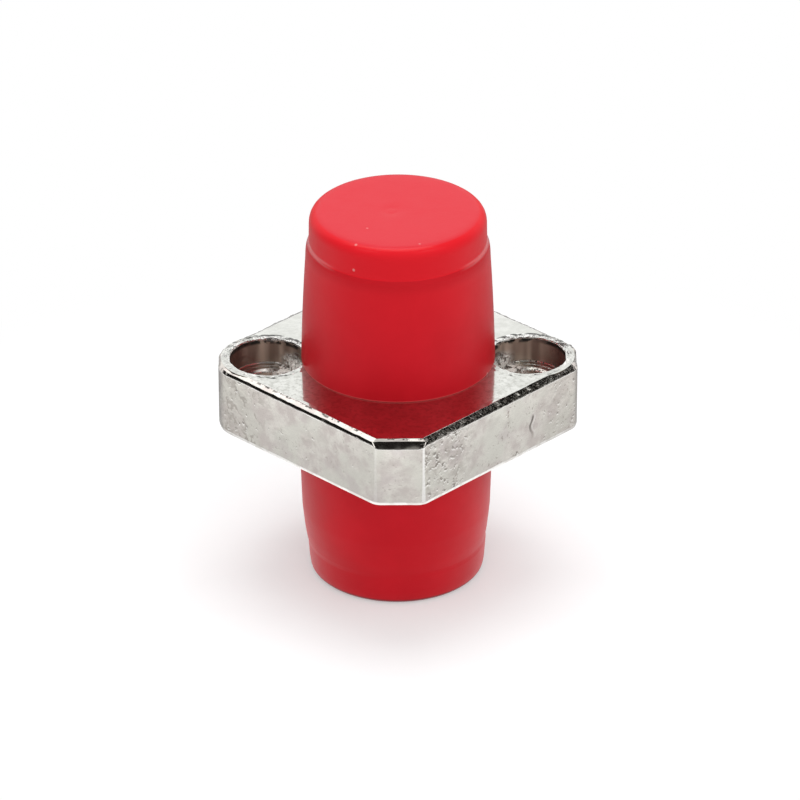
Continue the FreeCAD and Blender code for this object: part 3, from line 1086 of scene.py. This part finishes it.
# %% World for mirrors
ROOM_DARK = (0.012, 0.011, 0.01)
world = bpy.data.worlds.new("studio")
bpy.context.scene.world = world
world.use_nodes = True
world.node_tree.nodes.clear()
base = Signal(world.node_tree)
way = base.make("TexCoord", output="Generated")
behind, height = way.part("Y"), way.part("Z")
sweep = behind.ramp(0.2, 0.45) * height.ramp(0.72, 0.6)
overhead = way.measure("DOT_PRODUCT", (0.0, 0.2, 0.98)).ramp(0.93, 0.95)
left_card = way.measure("DOT_PRODUCT", (-0.50, 0.38, 0.777)).ramp(0.945, 0.965)
top_card = way.measure("DOT_PRODUCT", (0.0, 0.342, 0.94)).ramp(0.965, 0.98)
corner_cards = way.vector("ABSOLUTE").measure("DOT_PRODUCT", (0.55, 0.44, 0.71)).ramp(0.95, 0.975)
corner_cards = corner_cards * behind.ramp(0.0, -0.1)
front_card = way.measure("DOT_PRODUCT", (0.1, -0.86, 0.5)).ramp(0.94, 0.975)
room = lay(sweep.between(ROOM_DARK, grey(1.25)), [
    (overhead, grey(0.8)),
    (left_card.most(top_card).most(corner_cards), grey(1.7)),
    (front_card, (0.35, 0.35, 0.34)),
    (behind.ramp(0.6, 0.85) * height.ramp(0.2, 0.12), grey(0.3)),
    (height.ramp(0.05, 0.01) * behind.ramp(0.85, 0.6), grey(1.2)),
    (height.ramp(0.36, 0.28) * behind.ramp(0.2, -0.1), grey(0.95)),
])
print("nodes for the room in mirrors:", len(world.node_tree.nodes))

# %% World for matt surfaces and for the camera
FRONT_LIGHT = (0.3, -0.66, 0.69)
lobe = way.measure("DOT_PRODUCT", FRONT_LIGHT).most(0.0)
soft = doubled((0.28 + 0.36 * lobe * lobe) * (1 - 0.3 * behind.ramp(0.0, 0.75)))
seen, mirror = rays(base)
tone = lay(soft, [(mirror, room), (seen, grey(1.0))])
sky = base.make("Background", None, {"Color": tone, "Strength": 1.0})
base.make("OutputWorld", None, {"Surface": sky})
scene = bpy.context.scene
scene.view_settings.view_transform = "Standard"
print("nodes in the world:", len(world.node_tree.nodes))

# %% [markdown]
# ## The lamp
# One square lamp, almost overhead and a little behind, gives the caps their bright ends and lays the soft
# shadow on the paper. It is hidden from mirrors, which have the cards instead. Its level says how bright
# a white card facing it would be, and from that and the distance follows the power that Blender asks for.

# %% Lamp
LAMP_LEVEL = 0.46
LAMP_AZIMUTH, LAMP_ELEVATION = math.radians(90), math.radians(81)
LAMP_DISTANCE, LAMP_SIZE = 0.45, 0.27
light = bpy.data.lights.new("lamp_top", "AREA")
light.size = LAMP_SIZE
light.energy = LAMP_LEVEL * math.pi**2 * LAMP_DISTANCE**2
lamp_flat = Vector((math.cos(LAMP_AZIMUTH), math.sin(LAMP_AZIMUTH), 0)) * math.cos(LAMP_ELEVATION)
lamp_way = lamp_flat + Vector((0, 0, math.sin(LAMP_ELEVATION)))
lamp = bpy.data.objects.new("lamp_top", light)
lamp.location = lamp_way * LAMP_DISTANCE
lamp.rotation_euler = lamp_way.to_track_quat("Z", "Y").to_euler()
lamp.visible_glossy = False
scene.collection.objects.link(lamp)
print("lamp power:", round(light.energy, 3), "W")

# %% [markdown]
# ## Camera
# The picture was taken with a long lens from about 29 degrees above the table. The distance, lens and
# angle come from fitting the flange's edges, the screw pockets and the outline of the caps to their
# places in the picture. The lens is known in pixels of the picture, and the sensor's width turns it into
# millimetres.

# %% Camera
ELEVATION = math.radians(28.87)
TURN = math.radians(-0.53)
ROLL = -0.002
DISTANCE = 0.300
AIM_RIGHT, AIM_ABOVE = 0.00011, -0.00062
LENS_PX, PICTURE_PX, SENSOR_MM = 6132, 800, 36.0
right = Vector((1, 0, 0))
above = Vector((0, math.sin(ELEVATION), math.cos(ELEVATION)))
back = Vector((0, -math.cos(ELEVATION), math.sin(ELEVATION)))
level = right * math.cos(ROLL) + above * math.sin(ROLL)
upward = above * math.cos(ROLL) - right * math.sin(ROLL)
pose = Matrix((level, upward, back)).transposed().to_4x4()
pose.translation = back * DISTANCE + right * AIM_RIGHT + above * AIM_ABOVE
camera_data = bpy.data.cameras.new("camera")
camera_data.sensor_width = SENSOR_MM
camera_data.lens = LENS_PX / PICTURE_PX * SENSOR_MM
camera_data.clip_start = 0.01
camera_data.clip_end = 10.0
camera = bpy.data.objects.new("camera", camera_data)
camera.matrix_world = Matrix.Rotation(TURN, 4, "Z") @ pose
scene.collection.objects.link(camera)
scene.camera = camera
print("lens", round(camera_data.lens, 1), "mm")

# The box of the solids and the box of what is shown now are compared corner by corner, and should agree
# to about a tenth of a millimetre.

# %% Compare the boxes and finish
shown_box = [list(corner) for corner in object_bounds()]
differences = [abs(a - b) / MM for p, q in zip(cad_box, shown_box) for a, b in zip(p, q)]
print("largest difference in mm:", round(max(differences), 4))
